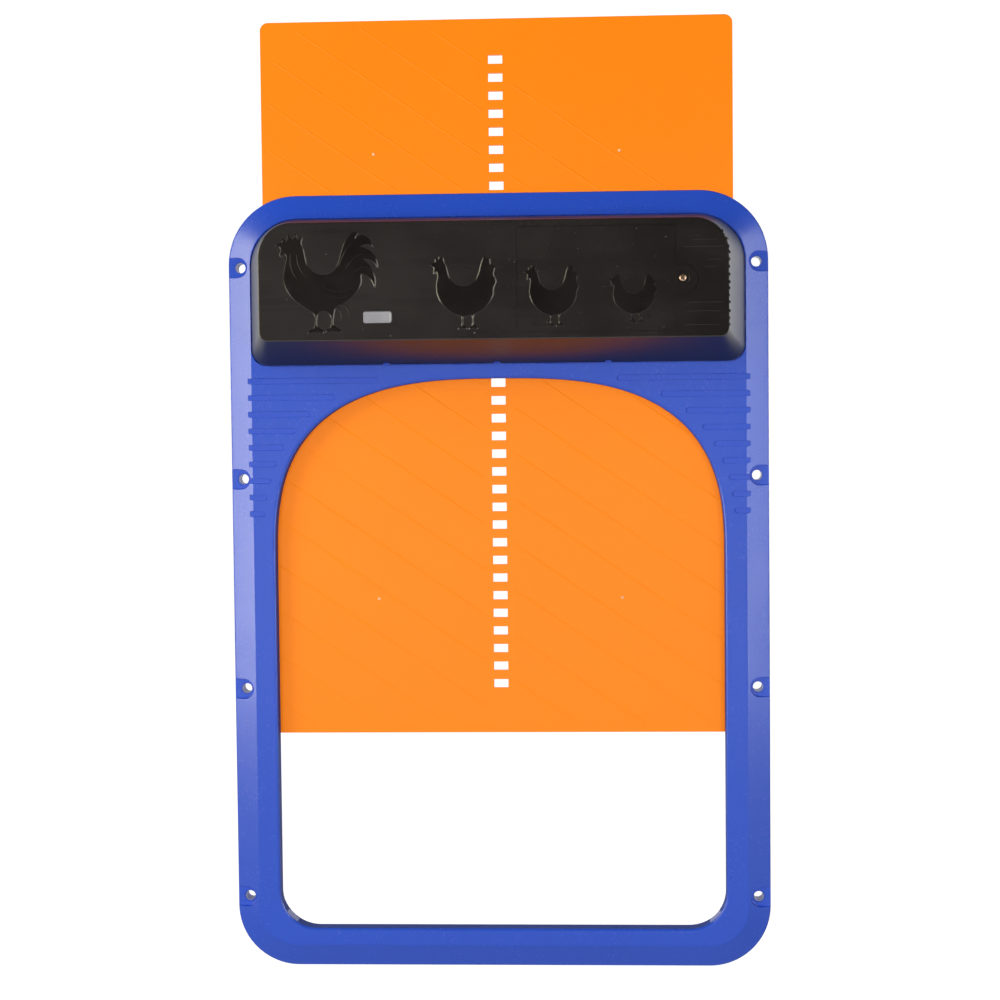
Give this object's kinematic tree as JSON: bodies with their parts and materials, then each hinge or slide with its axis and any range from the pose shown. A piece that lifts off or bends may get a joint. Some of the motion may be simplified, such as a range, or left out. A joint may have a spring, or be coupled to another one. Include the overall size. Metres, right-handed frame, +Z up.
{
  "type": "automatic coop door",
  "caption": "Battery-driven vertical sliding door for a hen house: flat frame with an arched doorway, slotted door panel, and a motor and light-sensor box above it.",
  "frame": {"origin": "bottom centre of the whole assembly's box: on the door's centre line, at the frame's lower edge, half way between the front of the control box and the back of the frame", "axes": "+X to the viewer's right seen from the front, +Y from the front towards the wall, +Z up along the door's travel"},
  "size_m": [0.2632, 0.053, 0.4646],
  "materials": {
    "blue_plastic": "moulded ABS, satin",
    "orange_plastic": "moulded sheet, semi-gloss",
    "black_plastic": "polished moulding with a plain sloping rim",
    "dark_plastic": "moulded",
    "natural_plastic": "acetal",
    "window_plastic": "translucent light window",
    "black_rubber": "foam seal",
    "screw_steel": "zinc plated",
    "motor_steel": "drawn can",
    "screw_brass": "yellow passivated",
    "worm_brass": "turned",
    "board_green": "coated circuit board",
    "sensor_red": "epoxy",
    "cell_wrap": "plain shrink sleeve",
    "lead_red": "insulated wire",
    "lead_black": "insulated wire"
  },
  "bodies": {
    "frame": {"front_frame": "blue_plastic", "rear_frame": "blue_plastic", "box_cover": "black_plastic", "battery_cover": "black_plastic", "battery_gasket": "black_rubber", "sensor_window": "window_plastic", "battery_cover_screw": "screw_brass", "gear_chassis": "natural_plastic", "motor_can": "motor_steel", "motor_end_cap": "dark_plastic", "motor_strap": "screw_steel", "shaft_bush_left": "worm_brass", "shaft_bush_right": "worm_brass", "circuit_board": "board_green", "controller_chip": "dark_plastic", "supply_capacitor": "motor_steel", "motor_plug": "natural_plastic", "battery_plug": "natural_plastic", "light_sensor": "sensor_red", "status_led": "sensor_red", "battery_holder": "dark_plastic", "battery_lead_red": "lead_red", "battery_lead_black": "lead_black", "motor_lead_red": "lead_red", "motor_lead_black": "lead_black", "battery_cell_1": "cell_wrap", "battery_contact_1": "screw_steel", "battery_spring_1": "screw_steel", "box_screw_1": "screw_steel", "battery_cell_2": "cell_wrap", "battery_contact_2": "screw_steel", "battery_spring_2": "screw_steel", "box_screw_2": "screw_steel", "battery_cell_3": "cell_wrap", "battery_contact_3": "screw_steel", "battery_spring_3": "screw_steel", "box_screw_3": "screw_steel", "battery_cell_4": "cell_wrap", "battery_contact_4": "screw_steel", "battery_spring_4": "screw_steel", "box_screw_4": "screw_steel", "frame_screw_1": "screw_steel", "frame_screw_2": "screw_steel", "frame_screw_3": "screw_steel", "frame_screw_4": "screw_steel", "frame_screw_5": "screw_steel", "frame_screw_6": "screw_steel", "chassis_screw_1": "screw_steel", "board_screw_1": "screw_steel", "strap_screw_1": "screw_steel", "chassis_screw_2": "screw_steel", "board_screw_2": "screw_steel", "strap_screw_2": "screw_steel"},
    "door": {"door_panel": "orange_plastic"},
    "drive": {"drive_shaft": "screw_steel", "shaft_collar": "natural_plastic", "drive_pinion": "natural_plastic", "worm_wheel": "natural_plastic"},
    "worm_rotor": {"worm": "worm_brass", "motor_shaft": "screw_steel"}
  },
  "joints": [
    {"name": "door_slide", "type": "slide", "parent": "frame", "child": "door", "axis": [0, 0, 1], "range_m": [-0.101, 0.1745]},
    {"name": "drive_turn", "type": "hinge", "parent": "frame", "child": "drive", "pos_m": [0, 0.0099, 0.34032], "axis": [1, 0, 0], "range_deg": [-522.3, 902.3]},
    {"name": "worm_turn", "type": "hinge", "parent": "frame", "child": "worm_rotor", "pos_m": [-0.015, -0.0026, 0.34032], "axis": [0, 0, 1], "range_deg": [-10445.2, 18046.3]}
  ],
  "couplings": [
    {"joint": "drive_turn", "follows": "door_slide", "rad_per_m": 90.069},
    {"joint": "worm_turn", "follows": "door_slide", "rad_per_m": 1801.4}
  ]
}
